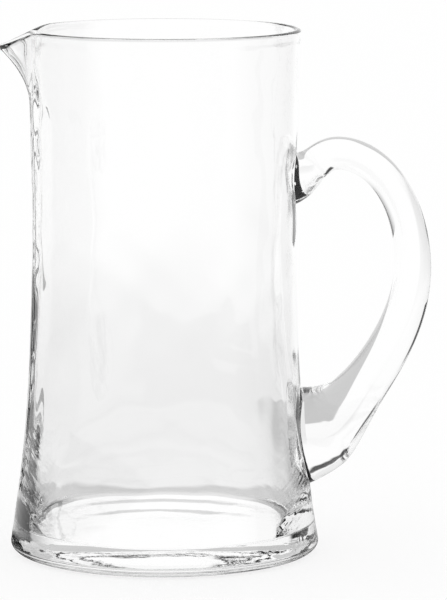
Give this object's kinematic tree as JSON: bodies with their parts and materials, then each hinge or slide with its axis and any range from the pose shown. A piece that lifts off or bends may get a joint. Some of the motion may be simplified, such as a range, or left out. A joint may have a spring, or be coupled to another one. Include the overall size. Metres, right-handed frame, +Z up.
{
  "type": "glass water jug",
  "caption": "Tall hand-blown clear glass water jug with a drawn pouring lip, a thick base and an applied loop handle.",
  "frame": {"origin": "on the body's axis, at the surface that the jug stands on", "axes": "+Z up along the body's axis; the pouring lip points along -X, and the handle stands on the +X side"},
  "size_m": [0.1967, 0.1406, 0.24],
  "materials": {
    "clear_glass": "clear colourless glass, fire-polished and glossy, with slight ripples and a few seed bubbles"
  },
  "bodies": {
    "root": {"jug_body": "clear_glass", "handle": "clear_glass"}
  },
  "joints": []
}
